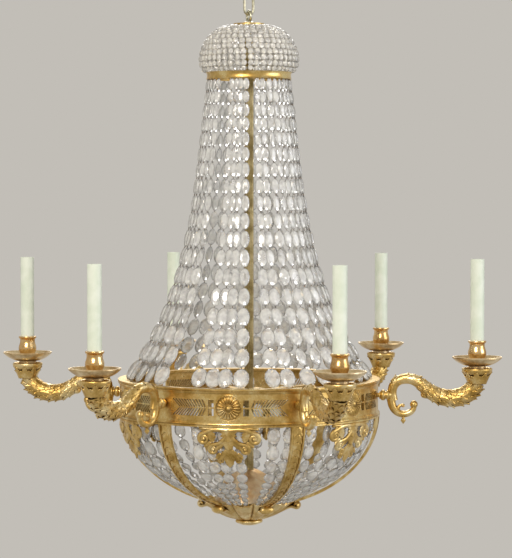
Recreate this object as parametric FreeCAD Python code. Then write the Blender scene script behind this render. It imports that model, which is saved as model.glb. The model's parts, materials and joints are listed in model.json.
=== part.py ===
"""Six-light crystal chandelier in the Empire manner: crown, tent, band, arms and basket.

Millimetres, +Z up. The origin is the inside top of the hanging link, where a ceiling hook
carries the chandelier. The first arm points along -Y and the others follow every 60 degrees.
"""
import FreeCAD, Part
import math
import os

V = FreeCAD.Vector
AXIS = V(0, 0, 1)
ORIGIN = V(0, 0, 0)

# ---- counts -------------------------------------------------------------------------------
LIGHTS = 6                  # arms, bays of strands, straps, rosettes and plaques
STRANDS_PER_BAY = 6
TENT_CRYSTALS = 18          # crystals in one tent strand
BASKET_CRYSTALS = 9         # crystals in one basket strand
CROWN_COLUMNS = 24
CROWN_BEADS = 9             # beads in one crown column

# ---- clearances ---------------------------------------------------------------------------
FIT = 0.2                   # a turned piece on the rod, tube or pin that carries it
SEAT = 0.3                  # a piece that rests on another

# ---- hanging link and eye -----------------------------------------------------------------
LINK_WIRE = 5.0             # diameter
LINK_INNER = 45.0           # inside length of the oval link
LINK_WIDTH = 21.0           # outside width of the link
EYE_WIRE = 5.0              # diameter
EYE_RADIUS = 8.75           # centre line of the eye ring
EYE_SHANK = 6.0             # radius of the threaded shank
EYE_COLLAR = 10.0           # radius of the collar that the crown disc hangs from
EYE_COLLAR_HEIGHT = 3.0
EYE_SHANK_LENGTH = 14.0     # below the collar

# ---- rod and stem -------------------------------------------------------------------------
ROD = 4.0                   # radius of the tie rod that clamps the whole stack
ROD_GRIP = 9.0              # length of rod screwed into the eye, and into the finial
STEM = 8.0                  # radius over the reeds
STEM_REED = 0.8             # depth of the reeds
STEM_REEDS = 12
STEM_BORE = 5.0             # radius

# ---- crown --------------------------------------------------------------------------------
CROWN_DISC = 27.0           # radius of the disc that the bead columns hang from
CROWN_DISC_THICK = 3.0
CROWN_BULGE = 96.0          # radius that pulls the bead curve outwards
CROWN_RING = 75.0           # outer radius of the brass ring under the beads
CROWN_RING_WALL = 4.0
CROWN_RING_TOP = -149.0     # height of the ring's upper edge
CROWN_RING_HEIGHT = 12.0

# ---- band ---------------------------------------------------------------------------------
BAND = 230.0                # outer radius over the mouldings
BAND_TOP = -685.0
BAND_HEIGHT = 64.0
BAND_PANEL_DEPTH = 3.0      # how far the panel lies behind the mouldings
BAND_WALL = 4.0
BAND_MOULDING = 9.0         # height of the double fillet at each edge
BAND_RAIL = 12.0            # width of the inward rails that the strands hook on
ROSETTE = 22.5              # radius
ROSETTE_PETALS = 8

# ---- spider -------------------------------------------------------------------------------
SPIDER_HUB = 26.0           # radius
SPIDER_HEIGHT = 18.0
SPOKE_WIDTH = 14.0
SPOKE_HEIGHT = 8.0
SPOKE_PAD = 20.0            # square pad that bears on the band
SPOKE_PAD_DEPTH = 14.0

# ---- arms ---------------------------------------------------------------------------------
ARM_AXIS = -712.0           # height of the stud that fixes an arm
STUD = 4.0                  # radius of the screw through the band
STUD_COLLAR = 9.5           # radius of the turned collar between band and arm
STUD_COLLAR_LENGTH = 13.0
STUD_PIN = 3.0              # radius of the pin that enters the arm
STUD_PIN_LENGTH = 8.0
ARM_ROOT = 8.0              # radius of the arm tube where it leaves the band
ARM_CREST = -677.0          # top of the first scroll
ARM_CREST_TUBE = 8.5        # tube radius there
ARM_CREST_AT = 283.0        # distance from the axis
ARM_LOW = -727.0            # underside of the second scroll
ARM_LOW_TUBE = 13.0
ARM_LOW_AT = 355.0
ARM_END_TUBE = 16.0
LIGHT_CIRCLE = 400.0        # radius of the circle of candles
VOLUTE_LOW = -750.0         # underside of the small volute below the arm
VOLUTE_AT = 272.0
VOLUTE_TUBE = 6.0
VOLUTE_BALL = 7.0
DROP_LENGTH = 12.0          # turned drop under the volute

# ---- candle stack -------------------------------------------------------------------------
CUP_RIM = 26.5              # radius
CUP_TOP = -666.0
CUP_HEIGHT = 26.0
CUP_FOOT = 17.0             # radius where the arm runs into the cup
CUP_WELL = 10.0             # depth of the recess for the pan's foot
PAN_RIM = 43.0
PAN_RIM_TOP = -643.0
PAN_UNDERSIDE = -659.0
PAN_WALL = 2.2
PAN_FOOT = 15.0
NOZZLE_RIM = 15.5
NOZZLE_TOP = -615.0
NOZZLE_BODY = 13.9
NOZZLE_BULGE = 17.0
SLEEVE = 12.0               # outer radius of the candle sleeve
SLEEVE_WALL = 1.0
SLEEVE_TOP = -474.0
SLEEVE_SOCKET = 19.0        # depth of the sleeve inside the nozzle
RISER = 5.0                 # radius of the threaded riser that clamps cup, pan and nozzle
RISER_GRIP = 14.0           # length of riser inside the arm's cup
HOLDER_GAP = 0.7            # between lampholder and sleeve
HOLDER_HEIGHT = 62.0
HOLDER_BORE = 7.0           # radius of the E14 screw socket
HOLDER_BORE_DEPTH = 25.0
HOLDER_DROP = 7.0           # lampholder's mouth below the sleeve's rim

# ---- basket -------------------------------------------------------------------------------
BASKET_DEPTH = 172.0        # from the band's lower edge to the point of the bowl curve
STRAP_TOP_WIDTH = 26.0
STRAP_END_WIDTH = 14.0
STRAP_THICK = 2.5
STRAP_EDGE = 1.5            # height of the raised edges
PLAQUE_WIDTH = 100.0
PLAQUE_HEIGHT = 75.0
PLAQUE_THICK = 2.0
PLAQUE_HOLE = 6.0           # side of one square opening
PLAQUE_BAR = 4.0            # bar between two openings
BASKET_INSET = 14.0         # centre line of the strands inside the bowl curve
DISH = 83.0                 # radius of the bottom dish
DISH_RIM_TOP = -901.0
DISH_BOTTOM = -934.0
DISH_WALL = 3.0
DISH_LOBES = 24
FINIAL = 24.0               # radius of the boss under the dish
FINIAL_HEIGHT = 10.0
INNER_DISH = 60.0
INNER_DISH_TOP = -846.0
INNER_DISH_HEIGHT = 53.0

# ---- crystals -----------------------------------------------------------------------------
PIN = 1.2                   # radius of the wire link between two crystals
TENT_WIDTHS = (10.5, 12.0, 14.5, 20.5, 28.0)    # evenly down a tent strand
TENT_PITCHES = (22.0, 40.0)                     # first and last crystal
BASKET_WIDTHS = (24.0, 9.0)
BASKET_PITCHES = (34.0, 17.0)
CROWN_WIDTHS = (8.0, 12.5, 12.5, 9.5)           # evenly down a bead column
CRYSTAL_FLATNESS = 0.5      # depth of a crystal as a share of its width
STRAND_STEP = 9.0           # degrees between two strands of a bay

# ---- sizes that follow --------------------------------------------------------------------
BAY = 360.0 / LIGHTS
LINK_BAR_Z = -LINK_INNER - LINK_WIRE / 2
EYE_BAR_Z = -LINK_INNER + SEAT + EYE_WIRE / 2
EYE_Z = EYE_BAR_Z - EYE_RADIUS
COLLAR_TOP = EYE_Z - EYE_RADIUS - EYE_WIRE / 2 + 2.0
COLLAR_BOTTOM = COLLAR_TOP - EYE_COLLAR_HEIGHT
DISC_TOP = COLLAR_BOTTOM - SEAT
DISC_BOTTOM = DISC_TOP - CROWN_DISC_THICK
SHANK_BOTTOM = COLLAR_BOTTOM - EYE_SHANK_LENGTH
STEM_TOP = SHANK_BOTTOM - SEAT
CROWN_RING_BOTTOM = CROWN_RING_TOP - CROWN_RING_HEIGHT
BAND_BOTTOM = BAND_TOP - BAND_HEIGHT
BAND_PANEL = BAND - BAND_PANEL_DEPTH
BAND_INNER = BAND_PANEL - BAND_WALL
ROSETTE_Z = BAND_TOP - BAND_HEIGHT / 2
ARM_START = BAND + SEAT + STUD_COLLAR_LENGTH
CUP_FLOOR = CUP_TOP - CUP_WELL
CUP_BOTTOM = CUP_TOP - CUP_HEIGHT
PAN_FLOOR = PAN_UNDERSIDE + PAN_WALL
NOZZLE_BOTTOM = PAN_FLOOR + SEAT
SLEEVE_BOTTOM = NOZZLE_TOP - SLEEVE_SOCKET + SEAT
HOLDER_TOP = SLEEVE_TOP - HOLDER_DROP
HOLDER = SLEEVE - SLEEVE_WALL - HOLDER_GAP
DISH_FLOOR = DISH_BOTTOM + DISH_WALL * 2
STEM_BOTTOM = DISH_FLOOR + SEAT
FINIAL_TOP = DISH_BOTTOM - SEAT
BASKET_CENTRE = BAND_BOTTOM + 7.0


# ---- shape helpers ------------------------------------------------------------------------
def turned(shape, degrees):
    """A copy of a shape, turned about the chandelier's axis."""
    copy = shape.copy()
    copy.rotate(ORIGIN, AXIS, degrees)
    return copy


def around(shape, count, first=0.0):
    """Copies of a shape at even steps about the axis."""
    return [turned(shape, first + i * 360.0 / count) for i in range(count)]


def at_arm(number):
    """Turn that brings a piece modelled along +X to the given arm."""
    return number * BAY - 90.0


def edge(points):
    """A line through two (r, z) points, or an arc through three."""
    vectors = [V(r, 0, z) for r, z in points]
    if len(vectors) == 2:
        return Part.LineSegment(*vectors).toShape()
    return Part.Arc(*vectors).toShape()


def lathe(*runs):
    """Revolve a closed profile: each run is a line (2 points) or an arc (3 points)."""
    face = Part.Face(Part.Wire([edge(run) for run in runs]))
    return face.revolve(ORIGIN, AXIS, 360)


def tube(radius, bore, low, high):
    """A ring or tube about the axis, solid where bore is 0."""
    body = Part.makeCylinder(radius, high - low, V(0, 0, low))
    if bore:
        body = body.cut(Part.makeCylinder(bore, high - low + 2, V(0, 0, low - 1)))
    return body


def ring_at(point, along, radius):
    """A circle about a point, square to a direction, as a wire for a loft."""
    return Part.Wire(Part.makeCircle(radius, point, along))


def tapered_tube(points, radii, steps):
    """A solid whose round section grows along a smooth curve through (r, z) points."""
    path = Part.BSplineCurve()
    path.interpolate([V(r, 0, z) for r, z in points])
    start, end = path.FirstParameter, path.LastParameter
    sections = []
    for i in range(steps + 1):
        share = i / steps
        place = start + (end - start) * share
        size = graded(radii, share)
        sections.append(ring_at(path.value(place), path.tangent(place)[0], size))
    return Part.makeLoft(sections, True, False)


def graded(values, share):
    """A value taken evenly along a short list of values."""
    place = share * (len(values) - 1)
    low = min(int(place), len(values) - 2)
    return values[low] + (values[low + 1] - values[low]) * (place - low)


def save(name, shapes):
    """Write one node: one solid, or a compound of separate solids."""
    shape = shapes if isinstance(shapes, Part.Shape) else Part.makeCompound(shapes)
    shape.exportStep("parts/%s.step" % name)
    print("%-20s %2d solid(s) %10.0f mm3 valid %s"
          % (name, len(shape.Solids), shape.Volume, shape.isValid()))


# ---- hanging link, eye, rod and stem ------------------------------------------------------
def hanging_link():
    """An elongated oval link of round wire, in the XZ plane."""
    r = (LINK_WIDTH - LINK_WIRE) / 2
    low = LINK_BAR_Z + r
    high = LINK_WIRE / 2 - r
    sides = [Part.LineSegment(V(x, 0, low), V(x, 0, high)) for x in (-r, r)]
    foot = Part.Arc(V(-r, 0, low), V(0, 0, low - r), V(r, 0, low))
    head = Part.Arc(V(-r, 0, high), V(0, 0, high + r), V(r, 0, high))
    path = Part.Wire([sides[0].toShape(), head.toShape(), sides[1].toShape(), foot.toShape()])
    section = ring_at(V(-r, 0, low), AXIS, LINK_WIRE / 2)
    return path.makePipeShell([section], True, False)


def top_eye():
    """The eye ring in the YZ plane, with its collar and threaded shank in one piece."""
    eye = Part.makeTorus(EYE_RADIUS, EYE_WIRE / 2, V(0, 0, EYE_Z), V(1, 0, 0))
    stack = lathe(
        [(0, COLLAR_TOP), (EYE_SHANK, COLLAR_TOP)],
        [(EYE_SHANK, COLLAR_TOP), (EYE_COLLAR, COLLAR_TOP - 1)],
        [(EYE_COLLAR, COLLAR_TOP - 1), (EYE_COLLAR, COLLAR_BOTTOM)],
        [(EYE_COLLAR, COLLAR_BOTTOM), (EYE_SHANK, COLLAR_BOTTOM)],
        [(EYE_SHANK, COLLAR_BOTTOM), (EYE_SHANK, SHANK_BOTTOM)],
        [(EYE_SHANK, SHANK_BOTTOM), (0, SHANK_BOTTOM)],
        [(0, SHANK_BOTTOM), (0, COLLAR_TOP)])
    socket = Part.makeCylinder(ROD, ROD_GRIP, V(0, 0, SHANK_BOTTOM))
    return eye.fuse(stack).cut(socket).removeSplitter()


def tie_rod():
    """The rod that runs from the eye to the finial and clamps the stack together."""
    return tube(ROD, 0, FINIAL_TOP - ROD_GRIP + 2, SHANK_BOTTOM + ROD_GRIP)


def stem():
    """The reeded brass tube over the rod."""
    valley = STEM - STEM_REED
    half = math.pi / STEM_REEDS
    edges = []
    for i in range(STEM_REEDS):
        mid = 2 * half * i
        points = []
        for radius, angle in ((valley, mid - half), (STEM, mid), (valley, mid + half)):
            points.append(V(radius * math.cos(angle), radius * math.sin(angle), STEM_BOTTOM))
        edges.append(Part.Arc(*points).toShape())
    length = STEM_TOP - STEM_BOTTOM
    reeded = Part.Face(Part.Wire(edges)).extrude(V(0, 0, length))
    return reeded.cut(Part.makeCylinder(STEM_BORE, length, V(0, 0, STEM_BOTTOM)))


# ---- crystals -----------------------------------------------------------------------------
def crystal_section(point, along, width):
    """A triangle with a flat back, square to the strand, for one station of a strand."""
    side = V(0, 1, 0)
    out = side.cross(along)
    out.normalize()
    if out.x < 0:
        out = out * -1
    depth = width * CRYSTAL_FLATNESS
    corners = [point + out * (depth * 2 / 3)]
    corners.append(point - out * (depth / 3) + side * (width / 2))
    corners.append(point - out * (depth / 3) - side * (width / 2))
    return Part.makePolygon(corners + corners[:1])


def strand(curve, widths, pitches, count):
    """A strand of graduated crystals along a curve, modelled as one faceted solid.

    The curve lies in the XZ plane. Each crystal swells from the wire to its girdle and back.
    """
    total = sum(graded(pitches, i / (count - 1)) for i in range(count))
    scale = curve.length() / total
    sections = [crystal_section(curve.value(0), curve.tangent(0)[0], 2 * PIN)]
    run = 0.0
    for i in range(count):
        share = i / (count - 1)
        pitch = graded(pitches, share) * scale
        for reach, width in ((0.5, graded(widths, share)), (1.0, 2 * PIN)):
            place = curve.parameterAtDistance(min(run + pitch * reach, curve.length() - 1e-6))
            sections.append(crystal_section(curve.value(place), curve.tangent(place)[0], width))
        run += pitch
    return Part.makeLoft(sections, True, True)


def bezier(*points):
    """A smooth curve pulled towards its inner (r, z) points."""
    curve = Part.BezierCurve()
    curve.setPoles([V(r, 0, z) for r, z in points])
    return curve


def bay_of(one):
    """The strands of one bay, evenly stepped about the middle of the bay."""
    first = -STRAND_STEP * (STRANDS_PER_BAY - 1) / 2
    return [turned(one, first + i * STRAND_STEP) for i in range(STRANDS_PER_BAY)]


def crown_columns():
    """The bead columns that bulge from the top disc down to the crown ring."""
    rim = (DISC_TOP + DISC_BOTTOM) / 2
    curve = bezier((CROWN_DISC + SEAT, rim), (CROWN_DISC + 42, rim - 2),
                   (CROWN_BULGE, CROWN_RING_TOP + 10), (CROWN_RING - 2, CROWN_RING_TOP + SEAT + PIN))
    one = strand(curve, CROWN_WIDTHS, (1.0, 1.0), CROWN_BEADS)
    return around(one, CROWN_COLUMNS)


def tent_strand():
    """One strand of the tent, from under the crown ring to the band's upper rail."""
    top = CROWN_RING - CROWN_RING_WALL / 2 - 1
    foot = BAND - BAND_RAIL - 2
    curve = bezier((top, CROWN_RING_BOTTOM - SEAT), (top + 22, CROWN_RING_BOTTOM - 184),
                   (top + 27, BAND_TOP + 155), (foot, BAND_TOP + SEAT))
    return strand(curve, TENT_WIDTHS, TENT_PITCHES, TENT_CRYSTALS)


def bowl_height(radius, inset=0.0):
    """Height of the basket's bowl curve at a distance from the axis."""
    across = radius / (BAND - inset)
    return BASKET_CENTRE - (BASKET_DEPTH - inset) * math.sqrt(1 - across * across)


def basket_strand():
    """One strand of the basket, from the band's lower rail to the rim of the dish."""
    top = (BAND - BASKET_INSET, BAND_BOTTOM - SEAT)
    knee = (BAND - BASKET_INSET - 5, BAND_BOTTOM - 95)
    heel = (DISH + 57, DISH_RIM_TOP + 38)
    end = (DISH - 4, DISH_RIM_TOP + SEAT + 1)
    curve = bezier(top, knee, heel, end)
    return strand(curve, BASKET_WIDTHS, BASKET_PITCHES, BASKET_CRYSTALS)


# ---- crown metal --------------------------------------------------------------------------
def crown_top_disc():
    """The disc under the eye's collar, bored for the shank."""
    return tube(CROWN_DISC, EYE_SHANK + FIT, DISC_BOTTOM, DISC_TOP)


def crown_ring():
    """The brass ring that parts the crown from the tent, on three spokes and a hub."""
    inner = CROWN_RING - CROWN_RING_WALL
    mid = (CROWN_RING_TOP + CROWN_RING_BOTTOM) / 2
    shape = lathe(
        [(inner, CROWN_RING_BOTTOM), (CROWN_RING, CROWN_RING_BOTTOM)],
        [(CROWN_RING, CROWN_RING_BOTTOM), (CROWN_RING - 1.5, mid), (CROWN_RING, CROWN_RING_TOP)],
        [(CROWN_RING, CROWN_RING_TOP), (inner, CROWN_RING_TOP)],
        [(inner, CROWN_RING_TOP), (inner, CROWN_RING_BOTTOM)])
    hub = tube(STEM + FIT + 5, STEM + FIT, mid - 5, mid + 5)
    start = STEM + FIT + 3
    bar = Part.makeBox(inner + 1 - start, 6, 4, V(start, -3, mid - 2))
    return shape.fuse([hub] + around(bar, 3, 30)).removeSplitter()


# ---- band ---------------------------------------------------------------------------------
def moulded_edge(edge_z, way):
    """Profile of one moulded edge: fillet, groove, fillet, from the edge inwards."""
    z = [edge_z + way * BAND_MOULDING * share for share in (0, 0.4, 0.55, 1.0)]
    mid = (z[2] + z[3]) / 2
    return [
        [(BAND, z[0]), (BAND, z[1])],
        [(BAND, z[1]), (BAND - 2, z[2])],
        [(BAND - 2, z[2]), (BAND - 0.2, mid), (BAND_PANEL, z[3])]]


def band():
    """The main ring: moulded edges, plain panel, and inward rails with a fair inner wall."""
    upper = moulded_edge(BAND_TOP, -1)
    lower = [run[::-1] for run in moulded_edge(BAND_BOTTOM, 1)][::-1]
    rail = BAND - BAND_RAIL - 6
    top_under = BAND_TOP - BAND_WALL
    low_over = BAND_BOTTOM + BAND_WALL
    inside = [
        [(BAND, BAND_BOTTOM), (rail, BAND_BOTTOM)],
        [(rail, BAND_BOTTOM), (rail, low_over)],
        [(rail, low_over), (BAND_INNER, low_over)],
        [(BAND_INNER, low_over), (BAND_INNER, top_under)],
        [(BAND_INNER, top_under), (rail, top_under)],
        [(rail, top_under), (rail, BAND_TOP)],
        [(rail, BAND_TOP), (BAND, BAND_TOP)]]
    panel = [[upper[-1][-1], lower[0][0]]]
    ring = lathe(*(upper + panel + lower + inside))
    hole = Part.makeCylinder(STUD + FIT, 30, V(BAND_INNER - 10, 0, ARM_AXIS), V(1, 0, 0))
    return ring.cut([turned(hole, at_arm(i)) for i in range(LIGHTS)])


def rosette():
    """A petalled boss on the panel, midway between two arms, modelled along +X."""
    thick = BAND_PANEL_DEPTH + 1.5
    petal_at = ROSETTE * 0.66
    petal = ROSETTE - petal_at
    pieces = [Part.makeCylinder(petal_at + 2, thick)]
    for i in range(ROSETTE_PETALS):
        angle = 2 * math.pi * i / ROSETTE_PETALS
        place = V(petal_at * math.cos(angle), petal_at * math.sin(angle), 0)
        pieces.append(Part.makeCylinder(petal, thick, place))
        pieces.append(Part.makeCylinder(petal * 0.55, thick + 1.2, place))
    pieces.append(Part.makeSphere(8, V(0, 0, thick - 3)).common(
        Part.makeBox(40, 40, 20, V(-20, -20, 0))))
    flower = pieces[0].fuse(pieces[1:]).removeSplitter()
    flower.rotate(ORIGIN, V(0, 1, 0), 90)
    flower.translate(V(BAND_PANEL - 1.5, 0, ROSETTE_Z))
    seat = Part.makeCylinder(BAND_PANEL + FIT, BAND_HEIGHT, V(0, 0, BAND_BOTTOM))
    return flower.cut(seat)


# ---- spider and arm fixings ---------------------------------------------------------------
def spider():
    """The hub on the stem and the spokes that carry the band and the arms."""
    hub_top = ARM_AXIS + SPIDER_HEIGHT / 2
    hub_low = ARM_AXIS - SPIDER_HEIGHT / 2
    hub = tube(SPIDER_HUB, STEM + FIT, hub_low, hub_top)
    reach = BAND_INNER - SEAT
    pad_low = ARM_AXIS - SPOKE_PAD / 2
    bar = Part.makeBox(reach - SPIDER_HUB + 4, SPOKE_WIDTH, SPOKE_HEIGHT,
                       V(SPIDER_HUB - 4, -SPOKE_WIDTH / 2, ARM_AXIS - SPOKE_HEIGHT / 2))
    pad = Part.makeBox(SPOKE_PAD_DEPTH, SPOKE_PAD, SPOKE_PAD,
                       V(reach - SPOKE_PAD_DEPTH, -SPOKE_PAD / 2, pad_low))
    curve = Part.makeCylinder(reach, SPOKE_PAD + 2, V(0, 0, pad_low - 1))
    spoke = bar.fuse(pad).common(curve)
    hole = Part.makeCylinder(STUD, SPOKE_PAD_DEPTH + 5,
                             V(reach - SPOKE_PAD_DEPTH + 1, 0, ARM_AXIS), V(1, 0, 0))
    spoke = spoke.cut(hole)
    return hub.fuse([turned(spoke, at_arm(i)) for i in range(LIGHTS)]).removeSplitter()


def arm_stud():
    """The screw through the band into the spoke, its turned collar, and the arm's pin."""
    inner = BAND_INNER - SEAT - SPOKE_PAD_DEPTH + 2
    base = BAND + SEAT
    end = base + STUD_COLLAR_LENGTH
    mid = (base + end) / 2
    neck = STUD_COLLAR - 3
    collar = lathe(
        [(0, base), (neck, base)],
        [(neck, base), (neck, base + 2)],
        [(neck, base + 2), (STUD_COLLAR, mid), (neck, end - 2)],
        [(neck, end - 2), (neck, end - SEAT)],
        [(neck, end - SEAT), (0, end - SEAT)],
        [(0, end - SEAT), (0, base)])
    screw = Part.makeCylinder(STUD, base - inner + 1, V(0, 0, inner))
    pin = Part.makeCylinder(STUD_PIN, STUD_PIN_LENGTH, V(0, 0, end - 1))
    stud = collar.fuse([screw, pin]).removeSplitter()
    stud.rotate(ORIGIN, V(0, 1, 0), 90)
    stud.translate(V(0, 0, ARM_AXIS))
    return stud


# ---- arms and candle stacks ---------------------------------------------------------------
def arm():
    """One scrolled arm along +X: root, crest, low curve, cup, and the small volute below."""
    left = ARM_START + ARM_ROOT + 1.5
    crest = ARM_CREST - ARM_CREST_TUBE
    low = ARM_LOW + ARM_LOW_TUBE
    points = [(left, ARM_AXIS - 6), (left + 6, ARM_AXIS + 16), (ARM_CREST_AT, crest),
              (ARM_CREST_AT + 26, crest - 12), (ARM_LOW_AT - 24, low + 7), (ARM_LOW_AT, low),
              (LIGHT_CIRCLE - 18, low + 6), (LIGHT_CIRCLE - 2, CUP_BOTTOM - 6),
              (LIGHT_CIRCLE, CUP_BOTTOM + 6)]
    radii = (ARM_ROOT - 1, ARM_ROOT, ARM_CREST_TUBE, ARM_CREST_TUBE + 1, ARM_LOW_TUBE - 2,
             ARM_LOW_TUBE, ARM_END_TUBE - 1, ARM_END_TUBE, CUP_FOOT - 4)
    main = tapered_tube(points, radii, 16)
    heel = VOLUTE_LOW + VOLUTE_TUBE
    small = [(left, ARM_AXIS + 2), (left, ARM_AXIS - 16), (VOLUTE_AT, heel),
             (VOLUTE_AT + 15, heel + 8), (VOLUTE_AT + 17, heel + 18)]
    volute = tapered_tube(small, (ARM_ROOT - 1.5, ARM_ROOT - 1, VOLUTE_TUBE, 4.5, 4.0), 10)
    ball = Part.makeSphere(VOLUTE_BALL, V(VOLUTE_AT + 17, 0, heel + 18))
    root = Part.makeCylinder(ARM_ROOT, ARM_ROOT + 4, V(ARM_START, 0, ARM_AXIS), V(1, 0, 0))
    shape = main.fuse([volute, ball, root, drop(), cup()])
    pin = Part.makeCylinder(STUD_PIN + FIT, STUD_PIN_LENGTH + SEAT,
                            V(ARM_START - 1, 0, ARM_AXIS), V(1, 0, 0))
    grip = CUP_FLOOR - RISER_GRIP
    bore = Part.makeCylinder(RISER + FIT, 40, V(LIGHT_CIRCLE, 0, grip))
    return shape.cut([pin, bore])


def drop():
    """The turned drop under the small volute."""
    top = VOLUTE_LOW + 3
    tip = VOLUTE_LOW - DROP_LENGTH
    shape = lathe(
        [(0, top), (2.5, top)],
        [(2.5, top), (2.5, VOLUTE_LOW - 2)],
        [(2.5, VOLUTE_LOW - 2), (4.5, VOLUTE_LOW - 6), (1.5, tip)],
        [(1.5, tip), (0, tip)],
        [(0, tip), (0, top)])
    shape.translate(V(VOLUTE_AT, 0, 0))
    return shape


def cup():
    """The vase-shaped cup at the arm's end, with a well for the foot of the drip pan."""
    well = PAN_FOOT + FIT
    mid = CUP_BOTTOM + CUP_HEIGHT * 0.4
    shape = lathe(
        [(0, CUP_BOTTOM), (CUP_FOOT, CUP_BOTTOM)],
        [(CUP_FOOT, CUP_BOTTOM), (CUP_FOOT + 3, mid), (CUP_RIM, CUP_TOP - 3)],
        [(CUP_RIM, CUP_TOP - 3), (CUP_RIM, CUP_TOP)],
        [(CUP_RIM, CUP_TOP), (well, CUP_TOP)],
        [(well, CUP_TOP), (well, CUP_FLOOR)],
        [(well, CUP_FLOOR), (0, CUP_FLOOR)],
        [(0, CUP_FLOOR), (0, CUP_BOTTOM)])
    shape.translate(V(LIGHT_CIRCLE, 0, 0))
    return shape


def drip_pan():
    """The shallow pan under the nozzle, with a foot that drops into the arm's cup."""
    foot_low = CUP_FLOOR + SEAT
    bore = RISER + FIT
    mid = PAN_RIM * 0.72
    lift = (PAN_RIM_TOP - PAN_UNDERSIDE) * 0.3
    shape = lathe(
        [(bore, foot_low), (PAN_FOOT, foot_low)],
        [(PAN_FOOT, foot_low), (PAN_FOOT, PAN_UNDERSIDE)],
        [(PAN_FOOT, PAN_UNDERSIDE), (mid, PAN_UNDERSIDE + lift), (PAN_RIM, PAN_RIM_TOP - 2)],
        [(PAN_RIM, PAN_RIM_TOP - 2), (PAN_RIM, PAN_RIM_TOP)],
        [(PAN_RIM, PAN_RIM_TOP), (PAN_RIM - PAN_WALL, PAN_RIM_TOP)],
        [(PAN_RIM - PAN_WALL, PAN_RIM_TOP), (mid, PAN_FLOOR + lift), (PAN_FOOT, PAN_FLOOR)],
        [(PAN_FOOT, PAN_FLOOR), (bore, PAN_FLOOR)],
        [(bore, PAN_FLOOR), (bore, foot_low)])
    shape.translate(V(LIGHT_CIRCLE, 0, 0))
    return shape


def nozzle():
    """The candle nozzle: waisted foot, bulge, body and rolled rim, bored for the sleeve."""
    socket = SLEEVE + SEAT
    floor = NOZZLE_TOP - SLEEVE_SOCKET
    bore = RISER + FIT
    bulge_z = NOZZLE_BOTTOM + 13
    shape = lathe(
        [(bore, NOZZLE_BOTTOM), (NOZZLE_BODY, NOZZLE_BOTTOM)],
        [(NOZZLE_BODY, NOZZLE_BOTTOM), (NOZZLE_BODY, NOZZLE_BOTTOM + 3)],
        [(NOZZLE_BODY, NOZZLE_BOTTOM + 3), (NOZZLE_BODY - 4, NOZZLE_BOTTOM + 6)],
        [(NOZZLE_BODY - 4, NOZZLE_BOTTOM + 6), (NOZZLE_BULGE, bulge_z),
         (NOZZLE_BODY, bulge_z + 8)],
        [(NOZZLE_BODY, bulge_z + 8), (NOZZLE_BODY, NOZZLE_TOP - 5)],
        [(NOZZLE_BODY, NOZZLE_TOP - 5), (NOZZLE_RIM, NOZZLE_TOP - 3)],
        [(NOZZLE_RIM, NOZZLE_TOP - 3), (NOZZLE_RIM, NOZZLE_TOP)],
        [(NOZZLE_RIM, NOZZLE_TOP), (socket, NOZZLE_TOP)],
        [(socket, NOZZLE_TOP), (socket, floor)],
        [(socket, floor), (bore, floor)],
        [(bore, floor), (bore, NOZZLE_BOTTOM)])
    shape.translate(V(LIGHT_CIRCLE, 0, 0))
    return shape


def lampholder():
    """The threaded riser with the lamp socket on top, hidden by the sleeve."""
    low = HOLDER_TOP - HOLDER_HEIGHT
    riser_low = CUP_FLOOR - RISER_GRIP + SEAT
    shape = lathe(
        [(0, riser_low), (RISER, riser_low)],
        [(RISER, riser_low), (RISER, low)],
        [(RISER, low), (HOLDER - 2, low)],
        [(HOLDER - 2, low), (HOLDER, low + 3)],
        [(HOLDER, low + 3), (HOLDER, HOLDER_TOP)],
        [(HOLDER, HOLDER_TOP), (HOLDER_BORE, HOLDER_TOP)],
        [(HOLDER_BORE, HOLDER_TOP), (HOLDER_BORE, HOLDER_TOP - HOLDER_BORE_DEPTH)],
        [(HOLDER_BORE, HOLDER_TOP - HOLDER_BORE_DEPTH), (0, HOLDER_TOP - HOLDER_BORE_DEPTH)],
        [(0, HOLDER_TOP - HOLDER_BORE_DEPTH), (0, riser_low)])
    shape.translate(V(LIGHT_CIRCLE, 0, 0))
    return shape


def candle_sleeve():
    """The plain sleeve in the shape of a candle, standing in the nozzle."""
    shape = tube(SLEEVE, SLEEVE - SLEEVE_WALL, SLEEVE_BOTTOM, SLEEVE_TOP)
    shape.translate(V(LIGHT_CIRCLE, 0, 0))
    return shape


# ---- basket -------------------------------------------------------------------------------
def bowl_shell(outer_inset, thick, low, high):
    """A thin shell on the bowl curve between two heights."""
    def bowl(inset):
        body = Part.makeSphere(1.0)
        matrix = FreeCAD.Matrix()
        matrix.scale(V(BAND - inset, BAND - inset, BASKET_DEPTH - inset))
        body = body.transformGeometry(matrix)
        body.translate(V(0, 0, BASKET_CENTRE))
        return body
    shell = bowl(outer_inset).cut(bowl(outer_inset + thick))
    slab = Part.makeBox(3 * BAND, 3 * BAND, high - low, V(-1.5 * BAND, -1.5 * BAND, low))
    return shell.common(slab)


def outline_prism(corners, start, end):
    """A prism along +X whose section is given by (y, z) corners."""
    points = [V(start, y, z) for y, z in corners]
    return Part.Face(Part.makePolygon(points + points[:1])).extrude(V(end - start, 0, 0))


def strap():
    """One basket strap along +X: a tapered strip on the bowl curve with raised edges."""
    low = DISH_RIM_TOP + 6
    high = BAND_BOTTOM - SEAT
    top, end = STRAP_TOP_WIDTH / 2, STRAP_END_WIDTH / 2
    groove = 3.0
    outer = outline_prism([(-top, high), (top, high), (end, low), (-end, low)], 20, BAND + 5)
    inner = outline_prism([(-top + groove, high + 1), (top - groove, high + 1),
                           (end - groove, low - 1), (-end + groove, low - 1)], 20, BAND + 5)
    raised = bowl_shell(1.0, STRAP_EDGE + 0.5, low, high).common(outer).cut(inner)
    base = bowl_shell(1.0 + STRAP_EDGE, STRAP_THICK, low, high).common(outer)
    return base.fuse(raised).removeSplitter()


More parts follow.
